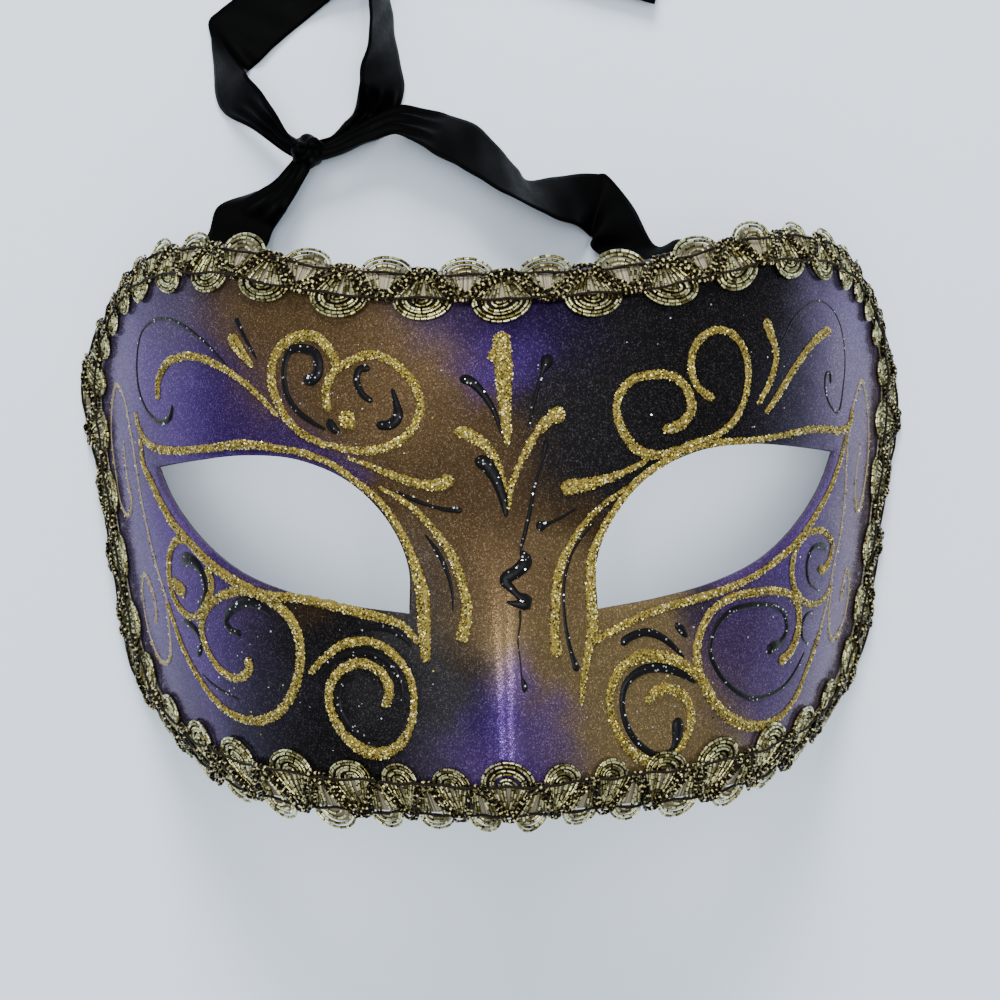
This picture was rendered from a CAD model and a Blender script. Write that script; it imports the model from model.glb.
"""Looks for a venetian eye mask lying face up: airbrushed shell, raised scrolls, corded braid and satin ties.

Sizes are in millimetres; those of the lights and the table are in metres. A place on the face is (s, v):
the way across it along its curve from the nose line, and the height up it. The shell's outline is followed
clockwise from its top centre.
"""

import math

import bpy
import numpy as np
from mathutils import Matrix, Vector
from mathutils.geometry import delaunay_2d_cdt
from mathutils.kdtree import KDTree


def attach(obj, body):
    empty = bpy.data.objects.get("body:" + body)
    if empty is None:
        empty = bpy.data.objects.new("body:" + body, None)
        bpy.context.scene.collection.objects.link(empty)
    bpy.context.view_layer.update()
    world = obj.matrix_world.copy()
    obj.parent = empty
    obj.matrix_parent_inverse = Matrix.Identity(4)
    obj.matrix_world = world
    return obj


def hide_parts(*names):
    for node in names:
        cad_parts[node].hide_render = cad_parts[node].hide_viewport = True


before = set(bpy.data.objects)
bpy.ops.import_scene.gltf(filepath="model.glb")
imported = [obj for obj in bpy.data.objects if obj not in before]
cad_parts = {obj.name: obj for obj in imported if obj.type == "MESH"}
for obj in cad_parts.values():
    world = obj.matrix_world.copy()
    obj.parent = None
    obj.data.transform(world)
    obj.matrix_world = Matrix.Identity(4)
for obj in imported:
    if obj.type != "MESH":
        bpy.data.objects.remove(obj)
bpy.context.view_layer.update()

MM = 0.001
TINY = 1e-9
rng = np.random.default_rng(11)

# Curves: steps between two rows, and the least distance taken between them
SPLINE_STEPS = 30
SPLINE_LEAST_GAP = 1e-3

# Face: arcs of the cross section as (length, turn in degrees), then the other sizes of the moulded surface
SECTION_ARCS = ((40, 27), (28, 23), (18, 9), (64, 7))
TAPER_FROM = 33
TAPER_LINE = 0.0006
TAPER_CURVE = 0.000015
BOW = 0.0011
NOSE_HEIGHT = 8
NOSE_WIDTH = 12.5
NOSE_TOP = 34
NOSE_FULL = -46
LIP_REACH = 8
LIP_DROP = 3.5
LIP_AT_SIDES = 0.35
LIP_LEVEL = 1
LIP_FALL_BEYOND = 0.3
SHELL_THICKNESS = 1.8
EDGE_THINNING = 0.55
EDGE_THIN_REACH = 3
REST_TILT = math.radians(3.2)
CROWN_HEIGHT = 60.2
MIDDLE_BACK = -3.58
TABLE_CLEARANCE = 0.35
NORMAL_STEP = 0.05

# Half of the shell's outline: s, v
OUTLINE_HALF = (
    (0, 46.5), (24, 47.8), (37, 50.2), (50, 53.6), (63, 55), (76, 54.8), (88, 51.8), (98, 46.5), (105.5, 39),
    (109, 30), (107.6, 5), (106.2, -20), (103, -30), (95.5, -38.5), (82, -44.3), (64, -47.6), (40, -49.5),
    (20, -50.2), (0, -50.2),
)
OUTLINE_SPACING = 0.25
# Eye hole from its outer corner over the upper lid to the inner corner, and back: s, v
EYE_UPPER = ((78, 13), (65, 13.8), (50, 14.4), (38, 13.2), (28, 9), (21, 2), (17.6, -6), (17.9, -14.4))
EYE_LOWER = ((17.9, -14.4), (30, -12.9), (43, -10.4), (55, -6.4), (66, 0.2), (73.8, 7), (78, 13))
EYE_SPACING = 0.9

# Camera: turned a little from straight above the face
CAMERA_YAW = -0.019586
CAMERA_ROLL = -0.0233996
CAMERA_ACROSS = -0.317
CAMERA_UP = 5.2
CAMERA_AWAY = 350
CAMERA_LENS = 72
CAMERA_SENSOR = 36
CAMERA_NEAR = 10

# Sockets of the node that mixes colours: the factor and both colours, and the result
MIX_SOCKETS = (0, 6, 7)
MIX_RESULT = 2


def spline(rows, spacing, closed=False):
    """Rows spaced evenly along a smooth curve through the given rows, whose first two columns are a place."""
    rows = np.asarray(rows, float)
    if closed:
        padded = np.vstack([rows[-1:], rows, rows[:2]])
    else:
        padded = np.vstack([2 * rows[0] - rows[1], rows, 2 * rows[-1] - rows[-2]])
    pieces = []
    for four in zip(padded, padded[1:], padded[2:], padded[3:]):
        gaps = [max(SPLINE_LEAST_GAP, np.linalg.norm((b - a)[:2])) ** 0.5 for a, b in zip(four, four[1:])]
        knots = np.concatenate([[0], np.cumsum(gaps)])
        t = np.linspace(knots[1], knots[2], SPLINE_STEPS, endpoint=False)[:, None]
        level = list(four)
        for span in (1, 2):
            level = [
                ((knots[i + span] - t) * a + (t - knots[i]) * b) / (knots[i + span] - knots[i])
                for i, (a, b) in enumerate(zip(level, level[1:]))
            ]
        pieces.append(((knots[2] - t) * level[0] + (t - knots[1]) * level[1]) / (knots[2] - knots[1]))
    line = np.vstack(pieces + [rows[:1] if closed else rows[-1:]])
    arc = np.concatenate([[0], np.cumsum(np.linalg.norm(np.diff(line[:, :2], axis=0), axis=1))])
    at = np.linspace(0, arc[-1], max(2, round(arc[-1] / spacing) + 1))
    return np.stack([np.interp(at, arc, column) for column in line.T], 1)


def unit(arrows):
    return arrows / np.maximum(np.linalg.norm(arrows, axis=-1, keepdims=True), TINY)


def waves(table, *ways):
    """A sum of sine waves, each a row of its height, its turns for every way given, and its start."""
    total = 0
    for height, *turns, start in table:
        total = total + height * np.sin(sum(turn * way for turn, way in zip(turns, ways)) + start)
    return total


def face_point(s, v):
    """The moulded face without its rolled lip, in the face's own frame."""
    way = np.abs(s)
    x = np.zeros_like(way)
    fall = np.zeros_like(way)
    slope = 0
    start = 0
    for length, degrees in SECTION_ARCS:
        turn = math.radians(degrees)
        radius = length / turn
        end = slope + np.clip(way - start, 0, length) / radius
        x = x + radius * (np.sin(end) - math.sin(slope))
        fall = fall + radius * (math.cos(slope) - np.cos(end))
        slope += turn
        start += length
    below = TAPER_FROM - v
    wide = np.sign(s) * x * (1 - TAPER_LINE * below - TAPER_CURVE * below * np.abs(below))
    grown = np.clip((NOSE_TOP - v) / (NOSE_TOP - NOSE_FULL), 0, 1)
    nose = NOSE_HEIGHT * grown ** 2 * (3 - 2 * grown) * np.exp(-((wide / NOSE_WIDTH) ** 2))
    return np.stack([wide, v, nose - fall - BOW * v * v], -1)


def face_normal(s, v):
    across = face_point(s + NORMAL_STEP, v) - face_point(s - NORMAL_STEP, v)
    up = face_point(s, v + NORMAL_STEP) - face_point(s, v - NORMAL_STEP)
    return unit(np.cross(across, up))


def on_table(points):
    """Lays points of the face's own frame on the table, and presses flat what would go below it."""
    x, y, z = np.moveaxis(points, -1, 0)
    back = y * math.cos(REST_TILT) - z * math.sin(REST_TILT) + MIDDLE_BACK
    height = y * math.sin(REST_TILT) + z * math.cos(REST_TILT) + CROWN_HEIGHT
    return np.stack([x, back, np.maximum(height, TABLE_CLEARANCE)], -1)


def place_tree(places):
    """A search tree over places on the face."""
    tree = KDTree(len(places))
    for index, (s, v) in enumerate(places):
        tree.insert((s, v, 0), index)
    tree.balance()
    return tree


half = np.array(OUTLINE_HALF, float)
OUTLINE = spline(np.vstack([half, half[-2:0:-1] * (-1, 1)]), OUTLINE_SPACING, closed=True)
OUTLINE_ARC = np.concatenate([[0], np.cumsum(np.linalg.norm(np.diff(OUTLINE, axis=0), axis=1))])
OUTLINE_LENGTH = OUTLINE_ARC[-1]
ahead = unit(np.roll(OUTLINE[:-1], -1, axis=0) - np.roll(OUTLINE[:-1], 1, axis=0))
OUTLINE_INWARD = np.stack([ahead[:, 1], -ahead[:, 0]], 1)
OUTLINE_INWARD = np.vstack([OUTLINE_INWARD, OUTLINE_INWARD[:1]])
EDGE_TREE = place_tree(OUTLINE)


def lip_drop(inset, inward_up):
    strength = LIP_AT_SIDES + (1 - LIP_AT_SIDES) * inward_up ** 2
    return LIP_DROP * strength * np.maximum(0, 1 - inset / LIP_REACH) ** 2


def edge_point(arc, inset, lift):
    """A point beside the shell's edge: how far along it, how far inside it, and how far off the face."""
    arc = np.mod(arc, OUTLINE_LENGTH)
    s, v = (np.interp(arc, OUTLINE_ARC, column) for column in OUTLINE.T)
    inward = unit(np.stack([np.interp(arc, OUTLINE_ARC, column) for column in OUTLINE_INWARD.T], -1))
    s = s + inward[..., 0] * inset
    v = v + inward[..., 1] * inset
    beyond = np.maximum(0, LIP_LEVEL - inset)
    height = lift - lip_drop(np.maximum(inset, LIP_LEVEL), inward[..., 1]) - LIP_FALL_BEYOND * beyond
    return face_point(s, v) + face_normal(s, v) * height[..., None]


def skin_point(s, v, lift):
    """A point of the face with its rolled lip, a given lift off the surface."""
    found = [EDGE_TREE.find((a, b, 0)) for a, b in zip(s, v)]
    inset = np.array([distance for _, _, distance in found])
    inward_up = OUTLINE_INWARD[[index for _, index, _ in found], 1]
    return face_point(s, v) + face_normal(s, v) * (lift - lip_drop(inset, inward_up))[:, None]


def feed(tree, socket, value):
    if isinstance(value, bpy.types.NodeSocket):
        tree.links.new(value, socket)
    else:
        socket.default_value = value


def add(tree, kind, inputs=None, **settings):
    """A shader node with its settings and inputs; an input is a constant or another node's output."""
    made = tree.nodes.new(kind)
    for key, value in settings.items():
        setattr(made, key, value)
    for socket, value in (inputs or {}).items():
        feed(tree, made.inputs[socket], value)
    return made


def new_material(name, **inputs):
    """A material with its main shader's inputs set; returns it with its tree and that shader's inputs."""
    material = bpy.data.materials.new(name)
    material.use_nodes = True
    tree = material.node_tree
    main = next(node for node in tree.nodes if node.type == "BSDF_PRINCIPLED").inputs
    for socket, value in inputs.items():
        feed(tree, main[socket.replace("_", " ")], value)
    return material, tree, main


def linear(*rgb):
    """A screen colour of 0 to 255 as light, by the usual curve of screens."""
    value = np.array(rgb, float) / 255
    light = np.where(value <= 0.04045, value / 12.92, ((value + 0.055) / 1.055) ** 2.4)
    return (*light.tolist(), 1.0)


def attribute(tree, name, output="Fac"):
    return add(tree, "ShaderNodeAttribute", attribute_name=name).outputs[output]


def place(tree):
    return add(tree, "ShaderNodeTexCoord").outputs["Object"]


def noise(tree, scale, detail):
    inputs = {"Vector": place(tree), "Scale": scale, "Detail": detail}
    return add(tree, "ShaderNodeTexNoise", inputs).outputs["Fac"]


def ranged(tree, value, low, high, to_low=0.0, to_high=1.0):
    """A value stretched so that low becomes to_low and high becomes to_high, and held between those."""
    inputs = {"Value": value, "From Min": low, "From Max": high, "To Min": to_low, "To Max": to_high}
    return add(tree, "ShaderNodeMapRange", inputs).outputs[0]


def maths(tree, operation, a, b=0.0, c=0.0):
    return add(tree, "ShaderNodeMath", {0: a, 1: b, 2: c}, operation=operation).outputs[0]


def vectors(tree, operation, a, b=(0.0, 0.0, 0.0)):
    return add(tree, "ShaderNodeVectorMath", {0: a, 1: b}, operation=operation).outputs[0]


def blend(tree, factor, a, b, mode="MIX"):
    mix = add(tree, "ShaderNodeMix", data_type="RGBA", blend_type=mode)
    for index, value in zip(MIX_SOCKETS, (factor, a, b)):
        feed(tree, mix.inputs[index], value)
    return mix.outputs[MIX_RESULT]


def roughen(tree, main, height, strength, depth):
    bump = add(tree, "ShaderNodeBump", {"Height": height, "Strength": strength, "Distance": depth * MM})
    feed(tree, main["Normal"], bump.outputs["Normal"])


def flake_normal(tree, cells, strength):
    """The surface normal, tipped at random in each cell of a cell texture."""
    tip = vectors(tree, "SUBTRACT", cells.outputs["Color"], (0.5, 0.5, 0.5))
    tip = vectors(tree, "MULTIPLY", tip, (strength, strength, strength))
    normal = add(tree, "ShaderNodeNewGeometry").outputs["Normal"]
    return vectors(tree, "NORMALIZE", vectors(tree, "ADD", normal, tip))


def grained_material(name, scale, detail, strength, depth, shades=None, **inputs):
    """A material roughened by noise, which also shades it where dark and light screen colours are given."""
    material, tree, main = new_material(name, **inputs)
    grain = noise(tree, scale, detail)
    if shades:
        dark, light = shades
        feed(tree, main["Base Color"], blend(tree, grain, linear(*dark), linear(*light)))
    roughen(tree, main, grain, strength, depth)
    return material


def mesh_piece(name, points, faces, materials, slot, attributes=None, face_material=None, smooth=True):
    """A piece of the mask from points in millimetres, with its materials, slot and named point values."""
    mesh = bpy.data.meshes.new(name)
    mesh.from_pydata((np.asarray(points) * MM).tolist(), [], [list(map(int, face)) for face in faces])
    for key, values in (attributes or {}).items():
        values = np.asarray(values, float)
        colour = values.ndim == 2
        layer = mesh.attributes.new(key, "FLOAT_COLOR" if colour else "FLOAT", "POINT")
        layer.data.foreach_set("color" if colour else "value", values.ravel())
    for material in materials:
        mesh.materials.append(material)
    if face_material is not None:
        mesh.polygons.foreach_set("material_index", np.asarray(face_material, int))
    mesh.polygons.foreach_set("use_smooth", [smooth] * len(mesh.polygons))
    mesh.update()
    piece = bpy.data.objects.new(name, mesh)
    bpy.context.scene.collection.objects.link(piece)
    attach(piece, "root")
    return piece


def ring_faces(rings, count, closed):
    """Quads between neighbouring rings of the same point count."""
    a = np.arange(rings if closed else rings - 1)[:, None]
    i = np.arange(count)[None]
    j = (i + 1) % count
    b = (a + 1) % rings
    quads = np.stack([a * count + i, a * count + j, b * count + j, b * count + i], -1)
    return quads.reshape(-1, 4)


def capped_faces(rings, count):
    """Quads between neighbouring rings, and a face over the first ring and over the last."""
    first = np.arange(count)
    last = first + (rings - 1) * count
    return [*ring_faces(rings, count, False).tolist(), first[::-1].tolist(), last.tolist()]


def tube(points, normals, radius, sides, closed):
    """A cord along points, with a radius for each: its skin points and quads."""
    if closed:
        along = np.roll(points, -1, axis=0) - np.roll(points, 1, axis=0)
    else:
        along = np.gradient(points, axis=0)
    across = unit(np.cross(normals, unit(along)))
    up = unit(np.cross(unit(along), across))
    angle = np.linspace(0, 2 * math.pi, sides, endpoint=False)[:, None]
    ring = np.cos(angle) * across[:, None] + np.sin(angle) * up[:, None]
    skin = points[:, None] + ring * radius[:, None, None]
    return skin.reshape(-1, 3), ring_faces(len(points), sides, closed)


def joined(parts):
    """Several meshes, each points and faces, as the points and faces of one."""
    points, faces = zip(*parts)
    starts = np.cumsum([0, *map(len, points)])
    return np.vstack(points), np.vstack([face + start for face, start in zip(faces, starts)])


def set_camera():
    turn = Matrix.Rotation(CAMERA_YAW, 3, "Y") @ Matrix.Rotation(CAMERA_ROLL, 3, "Z")
    tilt = Matrix.Rotation(REST_TILT, 3, "X")
    from_crown = tilt @ (turn @ Vector((CAMERA_ACROSS, CAMERA_UP, CAMERA_AWAY)))
    spot = from_crown + Vector((0, MIDDLE_BACK, CROWN_HEIGHT))
    data = bpy.data.cameras.new("camera")
    data.lens = CAMERA_LENS
    data.sensor_width = CAMERA_SENSOR
    data.clip_start = CAMERA_NEAR * MM
    camera = bpy.data.objects.new("camera", data)
    camera.matrix_world = Matrix.Translation(spot * MM) @ (tilt @ turn).to_4x4()
    bpy.context.scene.collection.objects.link(camera)
    bpy.context.scene.camera = camera


set_camera()

# Ribbons: left edge x, y and right edge x, y in the way of travel, lift of the lower edge, and width
RIBBON_WIDTH = 13
RIBBON_THICKNESS = 0.4
LEFT_RUN = (
    (-75.3, 22, -70, 22, 2.6, 13), (-74.8, 32, -69.5, 32.5, 2.4, 13), (-71.5, 44.5, -67.5, 41.5, 1.4, 13),
    (-65, 54.5, -59, 50, 0.7, 13), (-58, 60.5, -46.5, 56.5, 0.6, 13), (-55.5, 67, -44, 61.5, 0.6, 13),
    (-49, 69.5, -41.5, 64.5, 1, 11), (-45, 71, -40.5, 66.5, 1.4, 9), (-41.5, 74, -38.5, 70, 2.2, 6.5),
    (-38.5, 76.5, -36.5, 74, 3.4, 4.5),
)
LEFT_TAIL = (
    (-37, 79, -36, 76, 2.8, 3.2), (-34.5, 80, -33, 76.5, 2.4, 3.8), (-32, 81, -29, 77.5, 1.7, 4.6),
    (-29, 83.5, -23, 80.5, 0.9, 7), (-27, 86, -18.5, 85, 0.6, 8.8), (-25.5, 89, -17, 90.5, 0.6, 13),
    (-25, 93, -17.5, 96, 0.6, 13), (-23.5, 97.5, -18.5, 101.5, 0.6, 13), (-23, 102, -19, 106, 0.6, 13),
    (-23, 109.5, -20, 113.5, 0.6, 13),
)
RIGHT_RUN = (
    (70, 22, 75.3, 22, 2.6, 13), (69.5, 32.5, 74.8, 32, 2.4, 13), (66, 40.5, 70, 43.5, 1.2, 13),
    (56.5, 45, 59.5, 51, 0.7, 13), (45.5, 46, 46.5, 55, 0.6, 13), (33.5, 48.5, 39.5, 58, 0.6, 13),
    (21.5, 55.5, 34, 57, 0.6, 13), (21, 57.5, 30, 65, 0.6, 13), (21, 59, 24.5, 72, 0.6, 13),
    (20, 59.5, 23, 72, 0.8, 13), (17.5, 60.5, 19, 72, 0.8, 13), (13, 61.5, 13.5, 71.5, 0.6, 13),
    (8.5, 63.5, 8, 71, 0.6, 13), (4, 66, 6, 73.5, 0.6, 13), (-1.5, 69.5, 2.5, 78, 0.6, 13),
    (-6.5, 73, -2, 82.5, 0.6, 13), (-11.5, 75.5, -8, 85, 0.8, 13), (-16, 78, -14, 86, 1.6, 11),
    (-19, 79, -18, 86, 2.8, 9), (-23.5, 78, -22.5, 84, 3.7, 7), (-28, 76.5, -27.5, 81, 4.1, 5.5),
    (-33, 75, -33, 78, 4.4, 4.2), (-36, 75, -36, 77.5, 4.6, 3.8),
)
RIGHT_TAIL = (
    (-37.5, 76, -37.5, 78, 3.6, 4.5), (-41, 77.5, -39.5, 79.5, 3.2, 5), (-45.5, 81, -41, 81.5, 2, 8),
    (-50, 84, -43.5, 85, 1, 11.5), (-54, 86.5, -45.5, 88, 0.6, 13), (-55.5, 89.5, -47.5, 90.5, 0.6, 13),
    (-56, 95.5, -48.5, 92, 0.6, 13), (-56.5, 102, -49, 93.5, 0.6, 13), (-57, 105.5, -49, 95, 0.6, 13),
    (-54.5, 108, -46, 97.5, 0.6, 13), (-52, 110, -43.5, 100, 0.6, 13), (-44, 117, -35.5, 106.5, 0.6, 13),
    (-30.5, 124, -23.5, 114, 0.6, 13), (-14, 131.5, -10, 119, 0.6, 13), (5, 131, 2, 118.5, 0.6, 13),
    (22.5, 124.5, 18, 112.5, 0.6, 13), (38.5, 119.5, 35.5, 107, 0.6, 13),
)
RIBBON_CELLS = 12
RIBBON_SPACING = 0.7
RIBBON_LOWEST = 0.1
# Pleats where a ribbon is drawn narrow, and ripples all along it: height, turns along, turns across, start
PLEATS = ((0.9, 0.05, 6 * math.pi, math.pi / 2),)
RIPPLES = ((0.1, 0.45, 4, 0), (0.08, 0.9, -6, 0), (0.2, 0, math.pi, 0))
# Knot: its creases are depth, turns round, turns up, start
KNOT_CENTRE = (-36.5, 77, 5)
KNOT_HALF = (3.6, 3.2, 4.2)
KNOT_CREASES = ((0.07, 3, 4, math.pi / 2), (0.05, 5, -6, math.pi / 2))
KNOT_ROWS = 24
KNOT_COLUMNS = 40
KNOT_TOP = math.pi / 2 - 0.02
KNOT_WEAVE = 6
# Satin: threads across the ribbon, their share of the relief, and the range and least of the roughness
SATIN_THREADS = 260.0
SATIN_THREAD_RELIEF = 0.4
SATIN_ROUGHNESS = (0.3, 0.28)


def satin_material():
    material, tree, main = new_material("black satin", Base_Color=linear(3, 3, 3), Specular_IOR_Level=0.03)
    weave = noise(tree, scale=900.0, detail=3.0)
    feed(tree, main["Roughness"], maths(tree, "MULTIPLY_ADD", weave, *SATIN_ROUGHNESS))
    threads = maths(tree, "SINE", maths(tree, "MULTIPLY", attribute(tree, "across"), SATIN_THREADS))
    height = maths(tree, "ADD", maths(tree, "MULTIPLY", threads, SATIN_THREAD_RELIEF), weave)
    roughen(tree, main, height, strength=0.15, depth=0.2)
    return material


def ribbon_edges(rows, raised):
    """Rows of middle x, y, left edge, right edge and width; the raised edge stands up to keep the width."""
    rows = np.array(rows, float)
    plan = np.hypot(rows[:, 2] - rows[:, 0], rows[:, 3] - rows[:, 1])
    rise = np.sqrt(np.maximum(0, rows[:, 5] ** 2 - plan ** 2))
    low = rows[:, 4] + RIBBON_THICKNESS / 2
    left = np.column_stack([rows[:, 0:2], low + rise * (raised == "left")])
    right = np.column_stack([rows[:, 2:4], low + rise * (raised == "right")])
    return np.hstack([(left + right)[:, :2] / 2, left, right, rows[:, 5:]])


def ribbon_piece(name, stretches, nodes, material):
    """A satin strip between its edges; where it is drawn narrow it stands in pleats."""
    line = spline(np.vstack([ribbon_edges(*stretch) for stretch in stretches]), RIBBON_SPACING)
    left, right, width = line[:, 2:5], line[:, 5:8], line[:, 8]
    middle = (left + right) / 2
    along = unit(np.gradient(middle, axis=0))
    thick = unit(np.cross(right - left, along))[:, None]
    u = np.linspace(0, 1, RIBBON_CELLS + 1)
    drawn = np.sqrt(np.maximum(0, 1 - (width / RIBBON_WIDTH) ** 2))
    way = np.arange(len(line))[:, None] * RIBBON_SPACING
    relief = drawn[:, None] * waves(PLEATS, way, u) + waves(RIPPLES, way, u)
    sheet = left[:, None] + (right - left)[:, None] * u[None, :, None] + thick * relief[..., None]
    half_thick = thick * RIBBON_THICKNESS / 2
    loop = np.concatenate([sheet + half_thick, (sheet - half_thick)[:, ::-1]], 1)
    loop[..., 2] = np.maximum(loop[..., 2], RIBBON_LOWEST)
    faces = [face[::-1] for face in capped_faces(*loop.shape[:2])]
    across = np.tile(np.concatenate([u, u[::-1]]), len(line))
    piece = mesh_piece(name, loop.reshape(-1, 3), faces, [material], "black_ribbon", {"across": across})
    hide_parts(*nodes)


def knot_piece(material):
    """The tied knot: a lump with creases winding round it."""
    up = np.linspace(-KNOT_TOP, KNOT_TOP, KNOT_ROWS)[:, None]
    turn = np.linspace(0, 2 * math.pi, KNOT_COLUMNS, endpoint=False)[None]
    crease = 1 + waves(KNOT_CREASES, turn, up)
    ball = (np.cos(up) * np.cos(turn) * crease, np.cos(up) * np.sin(turn) * crease, np.sin(up) * crease)
    points = (np.stack(ball, -1) * KNOT_HALF).reshape(-1, 3) + KNOT_CENTRE
    faces = capped_faces(KNOT_ROWS, KNOT_COLUMNS)
    values = {"across": points[:, 2] / KNOT_WEAVE}
    piece = mesh_piece("ribbon_knot_satin", points, faces, [material], "black_ribbon", values)
    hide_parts("ribbon_knot")
    return piece


satin = satin_material()
knot = knot_piece(satin)
ribbon_piece("ribbon_left_satin", [(LEFT_RUN, "right"), (LEFT_TAIL, "left")],
             ("ribbon_left_run", "ribbon_left_tail"), satin)
ribbon_piece("ribbon_right_satin", [(RIGHT_RUN, "left"), (RIGHT_TAIL, "right")],
             ("ribbon_right_run", "ribbon_right_tail"), satin)

# Airbrushed paint: screen colours, and where each is sprayed as s, v, size of the spray
PALETTE = {
    "lavender": (86, 76, 101),
    "pearl": (100, 88, 97),
    "mauve": (62, 53, 72),
    "purple": (74, 54, 100),
    "grape": (61, 46, 77),
    "violet": (48, 30, 80),
    "plum": (20, 6, 40),
    "ink": (37, 35, 44),
    "black": (21, 20, 20),
    "bronze": (79, 62, 39),
    "brass": (104, 88, 58),
    "umber": (54, 41, 23),
    "tan": (97, 81, 53),
    "taupe": (71, 62, 52),
    "grey": (52, 51, 53),
}
SPRAYS = {
    "lavender": (
        (-103, 30, 10), (-101, 5, 12), (-97, -20, 12), (-90, 46, 10), (-92, 26, 8), (-90, -6, 8),
        (80, 38, 8), (86, 24, 7), (92, 42, 9), (80, -26, 6), (80, -12, 5),
    ),
    "pearl": ((79, 30, 5), (97, 20, 11), (97, 0, 11), (94, -20, 11), (84, -33, 9), (76, -42, 8), (92, 8, 8)),
    "mauve": (
        (-71, 42, 8), (-62, 46, 8), (-84, -33, 9), (-76, -38, 7), (-82, 14, 6), (70, 30, 5), (70, 43, 6),
        (76, -9, 6), (72, -34, 5), (84, 8, 5), (72, 17, 5), (12, -42, 4), (-14, -42, 5), (-15, 38, 3),
    ),
    "purple": (
        (-77, 30, 8), (-70, 24, 8), (-80, 4, 6), (-77, -9, 7), (-69, -22, 8), (-68, -1, 5), (60, -7, 4),
        (68, -1, 4), (76, 7, 4), (50, -11, 4), (-6, -38, 4), (-6, -45, 4), (10, -39, 4), (8, -33, 3),
        (9, -46, 5), (1, -25, 3), (7, -38, 5),
    ),
    "grape": (
        (-61, -15, 7), (54, -22, 8), (62, -18, 7), (66, -28, 6), (44, -20, 5), (56, -32, 6), (-10, 41, 5),
        (-12, 34, 3),
    ),
    "violet": (
        (-54, 21, 8), (-46, 19, 5), (-61, 27, 7), (-3, 31, 4), (4, 30, 4), (-68, -10, 3), (-61, -8, 3),
        (-62, -20, 4), (61, -9, 4), (7, -43, 3), (0, -33, 4), (1, -40, 4), (1, -46, 3), (-4, -30, 3),
        (-4, -35, 3), (-40, 16, 3), (-33, 13, 3), (-27, 11, 2),
    ),
    "plum": (
        (0, 42, 6), (8, 40, 7), (8, 46, 7), (-2, 47, 6), (12, 34, 5), (8, 36, 4), (-8, 36, 4), (-7, 40, 3),
    ),
    "ink": ((-50, -24, 7), (-52, -38, 7), (-60, -30, 5), (60, 28, 6), (40, -16, 3), (58, 21, 6), (64, 24, 5)),
    "black": (
        (17, 36, 7), (24, 44, 9), (36, 40, 9), (50, 44, 9), (60, 40, 7), (30, 26, 9), (42, 26, 8),
        (51, 28, 7), (18, 22, 8), (13, 12, 6), (26, 15, 6), (-24, -24, 6), (-32, -30, 9), (-24, -41, 8),
        (-40, -42, 8), (-40, -20, 5), (14, 30, 5), (9, 22, 4), (9, 15, 4), (12, 9, 4), (-7, -23, 3),
    ),
    "bronze": (
        (-50, 43, 8), (-38, 42, 9), (-40, 28, 7), (-28, 34, 9), (-26, 22, 8), (-20, 42, 7), (-16, 30, 7),
        (-15, 18, 7), (-8, -3, 6), (-4, -10, 6), (5, -8, 5),
    ),
    "brass": (
        (30, -34, 9), (40, -41, 8), (24, -42, 8), (22, -24, 6), (32, -21, 5), (48, -42, 6), (14, -32, 6),
        (16, -44, 5),
    ),
    "umber": (
        (-12, 8, 6), (-6, 17, 6), (-2, 8, 5), (-22, 10, 4), (4, 2, 5), (14, 2, 4), (-38, -14, 3), (2, 16, 4),
    ),
    "tan": ((9, -14, 5), (11, -24, 6), (9, -6, 4), (-4, -17, 5)),
    "taupe": ((-14, -5, 4), (-13, -13, 5), (-9, -19, 4)),
    "grey": ((-12, -26, 5), (-18, -18, 4), (-13, -33, 5), (-28, -29, 4)),
}
# How the sprays' edges wander along s and along v: reach, turns along s, turns along v, start
WANDER_S = ((1.2, 0, 0.31, 0.9), (0.7, 0.41, 0.83, 0))
WANDER_V = ((1.2, 0.27, 0, 2.1), (0.7, 0.77, -0.36, 0))
SPRAY_FADE = 0.7
# Grain of the paint: cells, how rare its sparks are, their gain, the range and least of the tone, and flecks
GRAIN_CELLS = 5600.0
SPARK_RARITY = 8.0
SPARK_GAIN = 1.6
GRAIN_TONE = (0.4, 0.66)
GRAIN_TIP = 0.1
FLECK_SHARE = 0.045
FLECK_COLOUR = (214, 196, 206)
GLOSS_COLOUR = (213, 203, 227)
# Mesh of the shell: its spacing, height of a row as a share of it, the room it fills, and its borders
SHELL_SPACING = 1.15
SHELL_ROW_SHARE = 0.87
SHELL_HALF_WIDTH = 112
SHELL_LOW = -54
SHELL_HIGH = 58
RIM_SPACING = 1.0
RIM_SKIPS = 4
BORDER_CLEARANCE = 0.6
BORDER_ROUNDING = 0.25
SAME_PLACE = 1e-4


def paint_colours(s, v):
    """The airbrushed colour at each place, as light: each spray fades into its neighbours unevenly."""
    s = s + waves(WANDER_S, s, v)
    v = v + waves(WANDER_V, s, v)
    total = np.full(len(s), TINY)
    colour = np.zeros((len(s), 4))
    for name, spots in SPRAYS.items():
        light = np.array(linear(*PALETTE[name]))
        for at_s, at_v, size in spots:
            weight = np.exp(-SPRAY_FADE * ((s - at_s) ** 2 + (v - at_v) ** 2) / size ** 2)
            colour += weight[:, None] * light
            total += weight
    return colour / total[:, None]


def inside(points, loop):
    """Which points lie inside a closed loop."""
    x, y = points.T[:, :, None]
    x0, y0 = loop.T
    x1, y1 = np.roll(loop, -1, axis=0).T
    rise = np.where(y1 == y0, TINY, y1 - y0)
    crossing = ((y0 > y) != (y1 > y)) & (x < x0 + (y - y0) * (x1 - x0) / rise)
    return crossing.sum(1) % 2 == 1


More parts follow.
